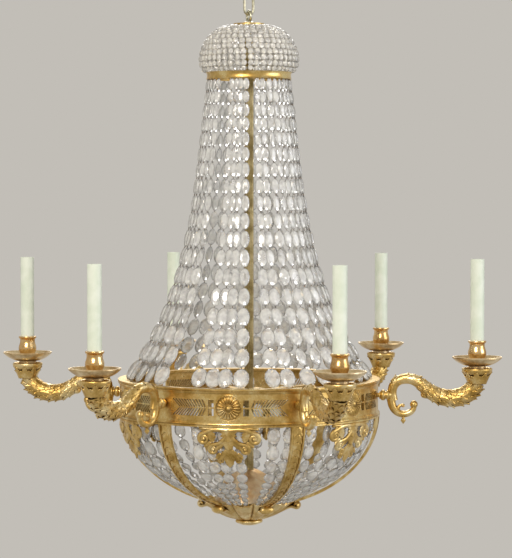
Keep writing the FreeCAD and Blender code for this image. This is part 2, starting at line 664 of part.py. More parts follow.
def plaque():
    """The pierced plaque that hangs under a rosette, modelled along +X."""
    high = BAND_BOTTOM - SEAT
    low = high - PLAQUE_HEIGHT
    half = PLAQUE_WIDTH / 2
    corners = [(-half, high), (half, high), (half * 0.86, high - 14), (half * 0.56, high - 34),
               (half * 0.3, high - 54), (0, low), (-half * 0.3, high - 54),
               (-half * 0.56, high - 34), (-half * 0.86, high - 14)]
    sheet = bowl_shell(0.5, PLAQUE_THICK, low, high)
    shape = sheet.common(outline_prism(corners, 60, BAND + 5))
    pitch = PLAQUE_HOLE + PLAQUE_BAR
    holes = []
    for row, count in enumerate((8, 6, 4, 3, 1)):
        z = high - PLAQUE_BAR - PLAQUE_HOLE - row * pitch
        for i in range(count):
            y = (i - (count - 1) / 2) * pitch - PLAQUE_HOLE / 2
            holes.append(Part.makeBox(BAND, PLAQUE_HOLE, PLAQUE_HOLE, V(60, y, z)))
    return shape.cut(holes)


def bottom_dish():
    """The turned dish that gathers the basket, with a lobed rim."""
    rim_low = DISH_RIM_TOP - 5
    hub = STEM + 8
    shape = lathe(
        [(ROD + FIT, DISH_BOTTOM), (hub, DISH_BOTTOM)],
        [(hub, DISH_BOTTOM), (DISH * 0.62, DISH_BOTTOM + 7), (DISH, rim_low)],
        [(DISH, rim_low), (DISH, DISH_RIM_TOP)],
        [(DISH, DISH_RIM_TOP), (DISH - 6, DISH_RIM_TOP)],
        [(DISH - 6, DISH_RIM_TOP), (DISH * 0.6, DISH_BOTTOM + 11), (hub, DISH_FLOOR)],
        [(hub, DISH_FLOOR), (ROD + FIT, DISH_FLOOR)],
        [(ROD + FIT, DISH_FLOOR), (ROD + FIT, DISH_BOTTOM)])
    scallop = math.pi * DISH / DISH_LOBES * 0.45
    notch = Part.makeCylinder(scallop, 40, V(DISH + scallop * 0.6, 0, DISH_BOTTOM))
    return shape.cut(around(notch, DISH_LOBES))


def bottom_finial():
    """The boss screwed on the rod's lower end, which clamps the stack."""
    low = FINIAL_TOP - FINIAL_HEIGHT
    shape = lathe(
        [(0, FINIAL_TOP), (FINIAL - 3, FINIAL_TOP)],
        [(FINIAL - 3, FINIAL_TOP), (FINIAL, FINIAL_TOP - 3), (FINIAL - 4, FINIAL_TOP - 6)],
        [(FINIAL - 4, FINIAL_TOP - 6), (FINIAL * 0.6, low + 1), (FINIAL / 3, low)],
        [(FINIAL / 3, low), (0, low)],
        [(0, low), (0, FINIAL_TOP)])
    return shape.cut(Part.makeCylinder(ROD, ROD_GRIP - 2, V(0, 0, FINIAL_TOP - ROD_GRIP + 2)))


def inner_dish():
    """The brass dome inside the basket, threaded on the stem."""
    low = INNER_DISH_TOP - INNER_DISH_HEIGHT
    bore = STEM + FIT
    hub = bore + 5
    wall = 2.0
    return lathe(
        [(bore, INNER_DISH_TOP), (hub, INNER_DISH_TOP)],
        [(hub, INNER_DISH_TOP), (INNER_DISH * 0.75, low + 30), (INNER_DISH, low)],
        [(INNER_DISH, low), (INNER_DISH - wall, low)],
        [(INNER_DISH - wall, low), (INNER_DISH * 0.75 - wall, low + 28), (hub, INNER_DISH_TOP - 4)],
        [(hub, INNER_DISH_TOP - 4), (hub, INNER_DISH_TOP - 10)],
        [(hub, INNER_DISH_TOP - 10), (bore, INNER_DISH_TOP - 10)],
        [(bore, INNER_DISH_TOP - 10), (bore, INNER_DISH_TOP)])


# ---- the whole ----------------------------------------------------------------------------
def at_arms(shape):
    """One copy of a piece at each arm."""
    return [turned(shape, at_arm(i)) for i in range(LIGHTS)]


def at_bays(shape):
    """One copy of a piece midway between each pair of arms."""
    return [turned(shape, at_arm(i) + BAY / 2) for i in range(LIGHTS)]


def main():
    os.makedirs("parts", exist_ok=True)
    singles = [hanging_link, top_eye, tie_rod, stem, crown_top_disc, crown_ring, band, spider,
               bottom_dish, bottom_finial, inner_dish]
    for make in singles:
        save(make.__name__, make())
    save("crown_beads", crown_columns())
    save("rosettes", at_bays(rosette()))
    save("arm_studs", at_arms(arm_stud()))
    save("basket_straps", at_arms(strap()))
    save("lattice_plaques", at_bays(plaque()))
    for make in (arm, drip_pan, nozzle, lampholder, candle_sleeve):
        for i, shape in enumerate(at_arms(make())):
            save("%s_%d" % (make.__name__, i + 1), shape)
    for name, one in (("tent_strands", tent_strand()), ("basket_strands", basket_strand())):
        for i in range(LIGHTS):
            save("%s_%d" % (name, i + 1), bay_of(turned(one, at_arm(i) + BAY / 2)))


main()
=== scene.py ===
"""Finish of the crystal chandelier: cut crystal, cast and gilded bronze, brass and ivory.

+Z up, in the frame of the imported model. Pieces are modelled in millimetres and brought to
metres when they are finished. The first arm points along -Y.
"""
import json
import math
import random

import bmesh
import bpy
from mathutils import Matrix, Vector
from mathutils.geometry import interpolate_bezier


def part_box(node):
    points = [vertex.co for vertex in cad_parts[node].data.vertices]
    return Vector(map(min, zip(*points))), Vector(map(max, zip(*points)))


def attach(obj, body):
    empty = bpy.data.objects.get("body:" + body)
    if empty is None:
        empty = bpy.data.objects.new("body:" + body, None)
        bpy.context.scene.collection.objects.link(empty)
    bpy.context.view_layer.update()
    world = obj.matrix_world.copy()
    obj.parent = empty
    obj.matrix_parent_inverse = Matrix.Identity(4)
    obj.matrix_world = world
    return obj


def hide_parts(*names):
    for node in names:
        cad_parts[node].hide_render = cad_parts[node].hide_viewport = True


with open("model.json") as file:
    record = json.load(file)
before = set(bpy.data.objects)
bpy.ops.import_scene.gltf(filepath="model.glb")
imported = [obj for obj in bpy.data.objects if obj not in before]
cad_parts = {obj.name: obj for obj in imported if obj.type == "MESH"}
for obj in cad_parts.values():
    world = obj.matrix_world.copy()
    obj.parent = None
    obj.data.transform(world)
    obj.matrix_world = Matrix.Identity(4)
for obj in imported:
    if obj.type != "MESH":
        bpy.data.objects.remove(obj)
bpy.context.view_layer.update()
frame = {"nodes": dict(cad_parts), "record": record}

MM = 0.001
LIGHTS = 6
BAY = 360 / LIGHTS

# ---- places read from the frame -----------------------------------------------------------
def node_box(node):
    """Lowest and highest corners of a CAD node, in millimetres."""
    low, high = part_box(node)
    return Vector(low) / MM, Vector(high) / MM


band_low, band_high = node_box("band")
BAND = band_high.x                          # outer radius
BAND_TOP = band_high.z
BAND_BOTTOM = band_low.z
disc_low, disc_high = node_box("crown_top_disc")
ring_low, ring_high = node_box("crown_ring")
dish_low, dish_high = node_box("bottom_dish")
DISH = dish_high.x
sleeve_low, sleeve_high = node_box("candle_sleeve_1")
LIGHT_CIRCLE = -(sleeve_low.y + sleeve_high.y) / 2
arm_high = node_box("arm_1")[1]
ARM_START = -arm_high.y                     # distance of the arm's root from the axis
CUP_TOP = arm_high.z
nozzle_high = node_box("nozzle_1")[1]

# ---- crystals -----------------------------------------------------------------------------
STRANDS_PER_BAY = 6
STRAND_STEP = 9.0                           # degrees
TENT_ROWS = 18
TENT_WIDTHS = (12.0, 13.5, 15.5, 21.0, 28.0)
TENT_PITCHES = (22.0, 40.0)
BASKET_ROWS = 9
BASKET_WIDTHS = (23.0, 20.0, 16.0, 9.5)
BASKET_PITCHES = (34.0, 17.0)
CROWN_COLUMNS = 46
CROWN_ROWS = 11
CROWN_BEADS = (9.0, 11.5, 12.5, 12.0, 11.0, 10.0)
WIRE = 0.55                                 # radius of a wire link
CRYSTAL_SHARE = 0.96                        # of the pitch that a crystal takes up
WIRE_SHARE = 0.22                           # of the pitch that its wire link spans
# In the bay that faces the viewer the strands have slid along their wire and leave the
# stem open to view.
FRONT_BAY_SHIFT = (7.2, 5.2, 1.9, 0.5, 6.4, 4.6)


# ---- nodes and materials ------------------------------------------------------------------
def linear(code):
    """An sRGB hex colour as linear RGBA."""
    parts = [int(code[i:i + 2], 16) / 255 for i in (1, 3, 5)]
    return [c / 12.92 if c <= 0.04045 else ((c + 0.055) / 1.055) ** 2.4 for c in parts] + [1]


def add(tree, kind, inputs=None, **settings):
    """Add a node, set its properties, and set or link its inputs."""
    node = tree.nodes.new(kind)
    for name, value in settings.items():
        setattr(node, name, value)
    for name, value in (inputs or {}).items():
        if isinstance(value, bpy.types.NodeSocket):
            tree.links.new(value, node.inputs[name])
        else:
            node.inputs[name].default_value = value
    return node


def new_material(name, **shader):
    """A material with one principled shader, ready for patterns."""
    material = bpy.data.materials.new(name)
    material.use_nodes = True
    tree = material.node_tree
    tree.nodes.clear()
    bsdf = add(tree, "ShaderNodeBsdfPrincipled", shader)
    add(tree, "ShaderNodeOutputMaterial", {"Surface": bsdf.outputs[0]})
    return material, tree, bsdf


def ramp(tree, fac, stops):
    """A colour ramp over a value: stops are (position, hex colour)."""
    node = add(tree, "ShaderNodeValToRGB", {"Fac": fac})
    elements = node.color_ramp.elements
    while len(elements) < len(stops):
        elements.new(1)
    for element, (place, code) in zip(elements, stops):
        element.position = place
        element.color = linear(code)
    return node.outputs["Color"]


def gilded_metal(name, tones, grain_mm, relief, gloss):
    """Gilding over cast metal: worn tone in patches, fine chased grain, uneven gloss, hollows
    browned by patina and painted shade.
    """
    material, tree, bsdf = new_material(name, Metallic=1.0)
    place = add(tree, "ShaderNodeTexCoord").outputs["Object"]
    wear = add(tree, "ShaderNodeTexNoise",
               {"Vector": place, "Scale": 1 / (28 * MM), "Detail": 5.0, "Roughness": 0.62})
    grain = add(tree, "ShaderNodeTexNoise",
                {"Vector": place, "Scale": 1 / (grain_mm * MM), "Detail": 3.0})
    tone = add(tree, "ShaderNodeMix", {0: 0.2, 2: wear.outputs["Fac"], 3: grain.outputs["Fac"]})
    bright = ramp(tree, tone.outputs[0], list(zip((0.36, 0.5, 0.62), tones)))
    # Ambient occlusion browns the hollows and the gaps between leaves: partly patina, partly
    # painted shade where less light reaches.
    nook = add(tree, "ShaderNodeAmbientOcclusion", {"Distance": 7 * MM}, samples=6,
               only_local=True)
    patina_and_painted_shade = ramp(tree, nook.outputs["AO"], [(0.25, "#6B4E28"), (0.85, "#FFFFFF")])
    colour = add(tree, "ShaderNodeMix", {0: 1.0, 6: bright, 7: patina_and_painted_shade}, data_type="RGBA",
                 blend_type="MULTIPLY").outputs[2]
    rough = add(tree, "ShaderNodeMapRange",
                {"Value": wear.outputs["Fac"], "From Min": 0.3, "From Max": 0.7,
                 "To Min": gloss + 0.12, "To Max": gloss})
    bump = add(tree, "ShaderNodeBump", {"Height": grain.outputs["Fac"], "Distance": relief * MM,
                                        "Strength": 0.6})
    tree.links.new(colour, bsdf.inputs["Base Color"])
    tree.links.new(rough.outputs[0], bsdf.inputs["Roughness"])
    tree.links.new(bump.outputs[0], bsdf.inputs["Normal"])
    return material


def crystal_glass(name, body, edge, cloud_mm, clearness):
    """Pressed and cut lead crystal: clear, faintly clouded, with painted shade darkening it
    where it turns edge on.
    """
    material, tree, bsdf = new_material(
        name, **{"Roughness": 0.03, "IOR": 1.56, "Specular IOR Level": 0.7})
    place = add(tree, "ShaderNodeTexCoord").outputs["Object"]
    cloud = add(tree, "ShaderNodeTexNoise",
                {"Vector": place, "Scale": 1 / (cloud_mm * MM), "Detail": 2.0})
    white = ramp(tree, cloud.outputs["Fac"], list(zip((0.3, 0.7), body)))
    # Painted shade: the colour darkens toward the edge tone where the surface turns edge on to
    # the view.
    rim = add(tree, "ShaderNodeLayerWeight", {"Blend": 0.35}).outputs["Facing"]
    shade = ramp(tree, rim, [(0.25, "#FFFFFF"), (0.75, edge)])
    colour = add(tree, "ShaderNodeMix", {0: 1.0, 6: white, 7: shade}, data_type="RGBA",
                 blend_type="MULTIPLY")
    clear = add(tree, "ShaderNodeMapRange",
                {"Value": cloud.outputs["Fac"], "From Min": 0.3, "From Max": 0.7,
                 "To Min": clearness[0], "To Max": clearness[1]})
    tree.links.new(colour.outputs[2], bsdf.inputs["Base Color"])
    tree.links.new(clear.outputs[0], bsdf.inputs["Transmission Weight"])
    return material


def smooth_coating(name, tones, patch_mm, roughness, metallic=0.0):
    """A smooth painted, plated or moulded skin with faint patches of tone."""
    material, tree, bsdf = new_material(name, Metallic=metallic)
    place = add(tree, "ShaderNodeTexCoord").outputs["Object"]
    patch = add(tree, "ShaderNodeTexNoise",
                {"Vector": place, "Scale": 1 / (patch_mm * MM), "Detail": 4.0})
    colour = ramp(tree, patch.outputs["Fac"], list(zip((0.35, 0.65), tones)))
    rough = add(tree, "ShaderNodeMapRange",
                {"Value": patch.outputs["Fac"], "To Min": roughness + 0.1, "To Max": roughness})
    bump = add(tree, "ShaderNodeBump", {"Height": patch.outputs["Fac"], "Distance": 0.1 * MM,
                                        "Strength": 0.3})
    tree.links.new(colour, bsdf.inputs["Base Color"])
    tree.links.new(rough.outputs[0], bsdf.inputs["Roughness"])
    tree.links.new(bump.outputs[0], bsdf.inputs["Normal"])
    return material


# Cast bronze, fire gilded and worn: warm yellow on the high places, brown in the patches; patina
# and painted shade brown its hollows.
gilt_bronze = gilded_metal("gilt bronze, cast and chased", ("#AE8B46", "#DAB871", "#F5E0AA"),
                           1.6, 0.3, 0.28)
# Rolled and gilded brass of the band: smoother, with the same wear.
gilt_band = gilded_metal("gilt brass, rolled", ("#B7944E", "#D8B772", "#EFDA9F"),
                         3.0, 0.08, 0.24)
# Spun bronze of the pans: paler and pinker gilding.
pan_bronze = gilded_metal("gilt bronze, spun", ("#B2905F", "#DDC292", "#F1DFB9"), 4.0, 0.1, 0.28)
# Turned brass of the nozzles, polished: an orange, mirror-like tone.
nozzle_brass = gilded_metal("turned brass, polished", ("#B58A4A", "#E0B97C", "#F5DAA8"),
                            5.0, 0.05, 0.18)
# Spun brass of the inner dome, which shows pink between the crystals.
dome_brass = gilded_metal("spun brass, rosy", ("#E0BC90", "#F5DCB6", "#FFF1DC"), 6.0, 0.05, 0.3)
# Drawn brass tube, dull khaki with age.
stem_brass = gilded_metal("drawn brass tube, aged", ("#857447", "#AF9C6C", "#CFBE90"),
                          3.0, 0.1, 0.34)
# Zinc-plated wire of the link and eye: pale and dull.
plated_wire = smooth_coating("zinc-plated wire", ("#A8A48C", "#D2CEB8"), 6, 0.3, 1.0)
# Ivory card of the candle sleeves, faintly green, with a soft sheen.
ivory_card = smooth_coating("ivory card, varnished", ("#DDE6D2", "#EAF0E0"), 20, 0.42)
# Black phenolic of the lamp sockets.
phenolic = smooth_coating("phenolic resin, moulded", ("#1B1A19", "#262422"), 8, 0.4)
# Lead crystal of the strands, with #8F8A80 as its painted edge shade.
crystal = crystal_glass("lead crystal, cut", ("#FAFAF6", "#FFFFFF"), "#8F8A80", 14, (0.42, 0.8))
# Pressed glass of the crown, cloudier and creamier, with #A9A190 as its painted edge shade.
bead_glass = crystal_glass("pressed glass beads", ("#FBF8EE", "#FFFFFF"), "#A9A190", 9,
                           (0.35, 0.8))
# Annealed iron wire that links the crystals, browned.
link_wire = smooth_coating("annealed wire, browned", ("#3B2C1C", "#6B5233"), 5, 0.45, 1.0)


# ---- mesh helpers -------------------------------------------------------------------------
def finish_piece(bm, name, materials, body="chandelier", smooth=False):
    """Turn a bmesh in millimetres into a piece in metres that rides on a body."""
    mesh = bpy.data.meshes.new(name)
    bmesh.ops.scale(bm, vec=(MM, MM, MM), verts=bm.verts)
    bmesh.ops.recalc_face_normals(bm, faces=bm.faces)
    for face in bm.faces:
        face.smooth = smooth
    bm.to_mesh(mesh)
    bm.free()
    for material in materials:
        mesh.materials.append(material)
    piece = bpy.data.objects.new(name, mesh)
    bpy.context.collection.objects.link(piece)
    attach(piece, body)
    return piece


def stamp(bm, pattern, matrix, slot=0):
    """Add a copy of a pattern mesh to a bmesh, placed by a matrix."""
    first_vert, first_face = len(bm.verts), len(bm.faces)
    bm.from_mesh(pattern)
    bm.verts.ensure_lookup_table()
    bm.faces.ensure_lookup_table()
    bmesh.ops.transform(bm, matrix=matrix, verts=bm.verts[first_vert:])
    for face in bm.faces[first_face:]:
        face.material_index = slot


def pattern_mesh(name, bm):
    """Keep a bmesh as a pattern that is stamped many times."""
    mesh = bpy.data.meshes.new(name)
    bm.to_mesh(mesh)
    bm.free()
    return mesh


def shade_by_angle(piece, degrees):
    """Smooth shading, kept sharp at edges that fold more than an angle."""
    mesh = piece.data
    bm = bmesh.new()
    bm.from_mesh(mesh)
    for face in bm.faces:
        face.smooth = True
    for edge in bm.edges:
        folds = len(edge.link_faces) == 2 and edge.calc_face_angle(0) > math.radians(degrees)
        edge.smooth = not folds
    bm.to_mesh(mesh)
    bm.free()


def spun(bm, profile, segments):
    """Spin a profile of (r, z) points all round the axis."""
    verts = [bm.verts.new((r, 0, z)) for r, z in profile]
    edges = [bm.edges.new(pair) for pair in zip(verts, verts[1:])]
    bmesh.ops.spin(bm, geom=verts + edges, cent=(0, 0, 0), axis=(0, 0, 1),
                   angle=2 * math.pi, steps=segments, use_merge=True)


def graded(values, share):
    """A value taken evenly along a short list of values."""
    place = share * (len(values) - 1)
    low = min(int(place), len(values) - 2)
    return values[low] + (values[low + 1] - values[low]) * (place - low)


def around_axis(degrees):
    """Turn about the chandelier's axis, from +X."""
    return Matrix.Rotation(math.radians(degrees), 4, "Z")


def arm_angle(number):
    """Direction of an arm, counted from +X."""
    return number * BAY - 90


# ---- crystals -----------------------------------------------------------------------------
def crystal_pattern():
    """One oval crystal of unit size: a faceted lens with a flat table on both faces.

    It faces +X, its height runs along Z and its width along Y.
    """
    bm = bmesh.new()
    bmesh.ops.create_uvsphere(bm, u_segments=12, v_segments=6, radius=0.5)
    top = 0.5 * math.cos(math.radians(30))
    for vert in bm.verts:
        vert.co.z = max(-top, min(top, vert.co.z))
    bmesh.ops.dissolve_limit(bm, angle_limit=0.02, verts=bm.verts, edges=bm.edges)
    bmesh.ops.rotate(bm, verts=bm.verts, matrix=Matrix.Rotation(math.pi / 2, 3, "Y"))
    return pattern_mesh("crystal pattern", bm)


def bead_pattern():
    """One pressed bead of unit size."""
    bm = bmesh.new()
    bmesh.ops.create_uvsphere(bm, u_segments=10, v_segments=7, radius=0.5)
    bmesh.ops.rotate(bm, verts=bm.verts, matrix=Matrix.Rotation(math.pi / 2, 3, "Y"))
    return pattern_mesh("bead pattern", bm)


def wire_pattern():
    """A short wire of unit length along Z, and unit radius."""
    bm = bmesh.new()
    bmesh.ops.create_cone(bm, cap_ends=True, segments=6, radius1=1, radius2=1, depth=1)
    return pattern_mesh("wire pattern", bm)


def distances_along(points):
    """How far each point of a line lies from its start, along the line."""
    runs = [0.0]
    for first, second in zip(points, points[1:]):
        runs.append(runs[-1] + (second - first).length)
    return runs


def curve_stations(poles, steps=240):
    """Points along a curve pulled by four (r, z) poles, with the run at each."""
    points = interpolate_bezier(*[Vector((r, 0, z)) for r, z in poles], steps)
    return points, distances_along(points)


def place_at(stations, run):
    """Point and direction of a curve at a distance along it."""
    points, runs = stations
    i = max(1, next((k for k, r in enumerate(runs) if r >= run), len(runs) - 1))
    share = (run - runs[i - 1]) / (runs[i] - runs[i - 1])
    along = (points[i] - points[i - 1]).normalized()
    return points[i - 1].lerp(points[i], share), along


def facing(point, along, twist=0.0):
    """Matrix that puts a crystal on a strand: Z down the strand, X outwards."""
    out = Vector((0, 1, 0)).cross(along).normalized()
    if out.x < 0:
        out.negate()
    side = (-along).cross(out)
    turn = Matrix((out, side, -along)).transposed().to_4x4()
    return Matrix.Translation(point) @ turn @ Matrix.Rotation(twist, 4, "Z")


def hang_strand(bm, stations, angle, rows, widths, pitches, depth, chance):
    """One strand: crystals graduated along a curve, joined by wire links."""
    total = sum(graded(pitches, i / (rows - 1)) for i in range(rows))
    scale = stations[1][-1] / total
    run = 0.0
    turn = around_axis(angle)
    for i in range(rows):
        share = i / (rows - 1)
        pitch = graded(pitches, share) * scale
        width = graded(widths, share)
        point, along = place_at(stations, run + pitch / 2)
        twist = chance.uniform(-0.32, 0.32)
        size = Matrix.Diagonal((width * depth, width, pitch * CRYSTAL_SHARE, 1))
        stamp(bm, patterns["crystal"], turn @ facing(point, along, twist) @ size)
        joint, way = place_at(stations, run)
        wire = Matrix.Diagonal((WIRE, WIRE, pitch * WIRE_SHARE, 1))
        stamp(bm, patterns["wire"], turn @ facing(joint, way) @ wire, 1)
        run += pitch


def strand_angles(bay):
    """Directions of the strands of one bay."""
    middle = arm_angle(bay) + BAY / 2
    first = middle - STRAND_STEP * (STRANDS_PER_BAY - 1) / 2
    angles = [first + i * STRAND_STEP for i in range(STRANDS_PER_BAY)]
    if bay == LIGHTS - 1:
        angles = [angle + shift for angle, shift in zip(angles, FRONT_BAY_SHIFT)]
    return angles


def hang_tent():
    """The tent: six bays of strands from the crown ring to the band."""
    top = ring_high.x - 3
    poles = ((top, ring_low.z), (top + 22, ring_low.z - 184),
             (top + 27, BAND_TOP + 155), (BAND - 14, BAND_TOP))
    stations = curve_stations(poles)
    for bay in range(LIGHTS):
        bm = bmesh.new()
        chance = random.Random(40 + bay)
        for angle in strand_angles(bay):
            hang_strand(bm, stations, angle, TENT_ROWS, TENT_WIDTHS, TENT_PITCHES, 0.42, chance)
        piece = finish_piece(bm, "tent_crystals_%d" % (bay + 1), [crystal, link_wire])
        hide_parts("tent_strands_%d" % (bay + 1))


def hang_basket():
    """The basket: six bays of strands from the band to the dish."""
    poles = ((BAND - 14, BAND_BOTTOM), (BAND - 19, BAND_BOTTOM - 95),
             (DISH + 57, dish_high.z + 38), (DISH - 4, dish_high.z + 1))
    stations = curve_stations(poles)
    for bay in range(LIGHTS):
        bm = bmesh.new()
        chance = random.Random(80 + bay)
        for angle in strand_angles(bay):
            hang_strand(bm, stations, angle, BASKET_ROWS, BASKET_WIDTHS, BASKET_PITCHES, 0.4,
                        chance)
        piece = finish_piece(bm, "basket_crystals_%d" % (bay + 1), [crystal, link_wire])
        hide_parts("basket_strands_%d" % (bay + 1))


def thread_crown():
    """The crown of beads, in rows that widen to the bulge and draw in to the ring."""
    rim = disc_high.x
    level = (disc_low.z + disc_high.z) / 2
    poles = ((rim + 2, level - 5), (rim + 48, level - 3),
             (99, ring_high.z + 12), (ring_high.x - 1, ring_high.z + 1.5))
    stations = curve_stations(poles)
    length = stations[1][-1]
    bm = bmesh.new()
    chance = random.Random(7)
    for row in range(CROWN_ROWS):
        share = (row + 0.5) / CROWN_ROWS
        bead = graded(CROWN_BEADS, share)
        point, along = place_at(stations, length * share)
        count = min(CROWN_COLUMNS, int(2 * math.pi * point.x / (bead * 0.9)))
        size = Matrix.Diagonal((bead * 0.8, bead, bead * 1.05, 1))
        for i in range(count):
            angle = i * 360 / count + chance.uniform(-0.6, 0.6)
            place = around_axis(angle) @ facing(point, along, chance.uniform(-0.2, 0.2))
            stamp(bm, patterns["bead"], place @ size)
    piece = finish_piece(bm, "crown_of_beads", [bead_glass])
    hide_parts("crown_beads")


# ---- cast and pierced metalwork -----------------------------------------------------------
LEAF_LOBES = 3.5                            # on each edge of an acanthus leaf


def leaf_pattern():
    """One acanthus leaf of unit size: root at the origin, tip along +X, face along +Z.

    The edge is lobed, the rib stands up and the tip curls away from the surface.
    """
    bm = bmesh.new()
    bmesh.ops.create_grid(bm, x_segments=12, y_segments=6, size=0.5)
    bmesh.ops.translate(bm, verts=bm.verts, vec=(0.5, 0, 0))
    for vert in bm.verts:
        u, v = vert.co.x, vert.co.y * 2
        swell = math.sin(math.pi * (0.12 + 0.88 * u)) ** 0.75
        wave = math.cos(u * 2 * LEAF_LOBES * math.pi)
        vert.co.y = v * 0.5 * swell * (1 + 0.2 * wave * abs(v))
        rib = 0.13 * (1 - abs(v)) - 0.07 * abs(v) * (1 + wave) / 2
        curl = 0.9 * max(0.0, u - 0.6) ** 1.5
        vert.co.z = rib + curl + 0.06
    rim = [edge for edge in bm.edges if edge.is_boundary]
    skirt = bmesh.ops.extrude_edge_only(bm, edges=rim)["geom"]
    skirt = [item for item in skirt if isinstance(item, bmesh.types.BMVert)]
    for vert in skirt:
        vert.co.z -= 0.14
    bmesh.ops.holes_fill(bm, edges=[edge for edge in bm.edges if edge.is_boundary], sides=0)
    bmesh.ops.recalc_face_normals(bm, faces=bm.faces)
    return pattern_mesh("leaf pattern", bm)


def ball_pattern():
    """A small round knob of unit diameter."""
    bm = bmesh.new()
    bmesh.ops.create_uvsphere(bm, u_segments=14, v_segments=9, radius=0.5)
    return pattern_mesh("ball pattern", bm)


def scroll_mesh(points, radii, flat=1.0, ring=8):
    """A tapered scroll through (x, z) points, as a mesh; flat is its thickness along Y."""
    data = bpy.data.curves.new("scroll", "CURVE")
    data.dimensions = "3D"
    data.bevel_depth = 1.0
    data.bevel_resolution = ring // 2 - 1
    data.resolution_u = 5
    data.use_fill_caps = True
    spline = data.splines.new("NURBS")
    spline.points.add(len(points) - 1)
    for i, (point, (x, z)) in enumerate(zip(spline.points, points)):
        point.co = (x, 0, z, 1)
        point.radius = graded(radii, i / (len(points) - 1))
    spline.order_u = 4
    spline.use_endpoint_u = True
    holder = bpy.data.objects.new("scroll", data)
    bpy.context.collection.objects.link(holder)
    bpy.context.view_layer.update()
    mesh = bpy.data.meshes.new_from_object(holder)
    bpy.data.objects.remove(holder)
    mesh.transform(Matrix.Diagonal((1, flat, 1, 1)))
    return mesh


def volute(centre, start, radius, turns, steps_per_turn=8, way=1):
    """Points of a scroll that winds in to its centre."""
    count = int(turns * steps_per_turn)
    points = []
    for i in range(count + 1):
        share = i / count
        angle = math.radians(start) + way * share * turns * 2 * math.pi
        reach = radius * (1 - share) ** 0.8 + radius * 0.12
        points.append((centre[0] + reach * math.cos(angle), centre[1] + reach * math.sin(angle)))
    return points


def set_on(bm, pattern, at, along, up, length, width, height, turn=Matrix()):
    """Stamp a leaf or bud at a point, with its tip along one way and its face along another."""
    x = Vector(along).normalized()
    y = Vector(up).cross(x).normalized()
    z = x.cross(y)
    place = Matrix((x, y, z)).transposed().to_4x4()
    size = Matrix.Diagonal((length, width, height, 1))
    stamp(bm, patterns[pattern], turn @ Matrix.Translation(at) @ place @ size)


# The arm's centre line in its own upright plane: (distance from the axis, height).
ARM_AXIS = -712.0
ARM_LINE = ((256.0, -722.0), (250.0, -706.0), (256.0, -688.0), (273.0, -682.5), (291.0, -683.0),
            (306.0, -694.0), (322.0, -708.0), (343.0, -716.0), (365.0, -716.0),
            (383.0, -709.0), (395.0, -697.0), (399.0, -688.0))
ARM_RADII = (7.0, 8.0, 8.5, 8.5, 9.5, 11.0, 13.0, 14.0, 15.0, 15.0, 14.5, 14.0)
LOWER_LINE = ((252.0, -708.0), (249.5, -722.0), (255.0, -738.0), (268.0, -746.0),
              (283.0, -744.0), (291.0, -736.0), (291.0, -728.0))
LOWER_RADII = (7.5, 7.5, 7.0, 6.0, 5.5, 5.0, 4.5)
INNER_LINE = ((262, -741), (262, -732), (267, -727), (272, -730))
INNER_RADII = (4.5, 3.0, 2.6, 2.2)
ARM_CURLS = (((338, -706), (331, -700), (326, -695), (322, -697)),
             ((312, -712), (306, -714), (303, -709), (307, -706)))
CURL_RADII = (5.0, 4.0, 3.0, 2.2)
# Knobs: centre and radius.
ARM_KNOBS = (((290.5, 0, -727.5), 7.0), ((271.5, 0, -729.5), 3.4),
             ((324.0, 0, -697.0), 3.6), ((308.0, 0, -707.5), 3.4))
DROP_PROFILE = ((0.1, -747), (3.4, -750), (2.2, -752), (4.6, -755.5), (2.6, -759), (0.1, -762))
DROP_PLACE = (272, 0, 0)
COLLAR_PROFILE = ((0.1, 0), (9.5, 0), (9.5, 3), (8.2, 4), (8.8, 8), (0.1, 8))
ARM_FLAT = 0.92                             # the arm's thickness as a share of its height
ARM_LEAF_ROWS = 11
ARM_LEAVES = 8                              # in a row


def cast_arm(number):
    """One arm: the scroll from the band, the leafy S, the small volute, knob, drop and cup."""
    bm = bmesh.new()
    turn = around_axis(arm_angle(number))
    stamp(bm, scroll_mesh(ARM_LINE, ARM_RADII, ARM_FLAT, 14), turn)
    stamp(bm, scroll_mesh(LOWER_LINE, LOWER_RADII, 1.1, 12), turn)
    stamp(bm, scroll_mesh(INNER_LINE, INNER_RADII, 1.0, 10), turn)
    for at, size in ARM_KNOBS:
        ball = Matrix.Translation(at) @ Matrix.Diagonal((size * 2, size * 2, size * 2, 1))
        stamp(bm, patterns["ball"], turn @ ball)
    for curl in ARM_CURLS:
        stamp(bm, scroll_mesh(curl, CURL_RADII, 1.6, 10), turn)
    drop = bmesh.new()
    spun(drop, DROP_PROFILE, 14)
    stamp(bm, pattern_mesh("drop", drop), turn @ Matrix.Translation(DROP_PLACE))
    collar = bmesh.new()
    spun(collar, COLLAR_PROFILE, 24)
    lie = Matrix.Translation((ARM_START, 0, ARM_AXIS)) @ Matrix.Rotation(math.pi / 2, 4, "Y")
    stamp(bm, pattern_mesh("collar", collar), turn @ lie)
    dress_arm(bm, turn)
    stamp(bm, vase_cup(), turn @ Matrix.Translation((LIGHT_CIRCLE, 0, CUP_TOP)))
    piece = finish_piece(bm, "cast_arm_%d" % (number + 1), [gilt_bronze], smooth=True)
    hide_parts("arm_%d" % (number + 1))


def on_arm(place):
    """Point on the arm's centre line, direction and radius, at a place between its poles."""
    i = int(place)
    shares = ((1, 4, 1, 0), (1, 23, 23, 1))[place != i]
    poles = [Vector((x, 0, z)) for x, z in ARM_LINE[i - 1:i + 3]]
    radii = ARM_RADII[i - 1:i + 3]
    total = sum(shares[:len(poles)])
    point = sum((pole * share for pole, share in zip(poles, shares)), Vector()) / total
    radius = sum(r * share for r, share in zip(radii, shares)) / total
    last = poles[min(2, len(poles) - 1)]
    return point, (last - poles[0]).normalized(), radius


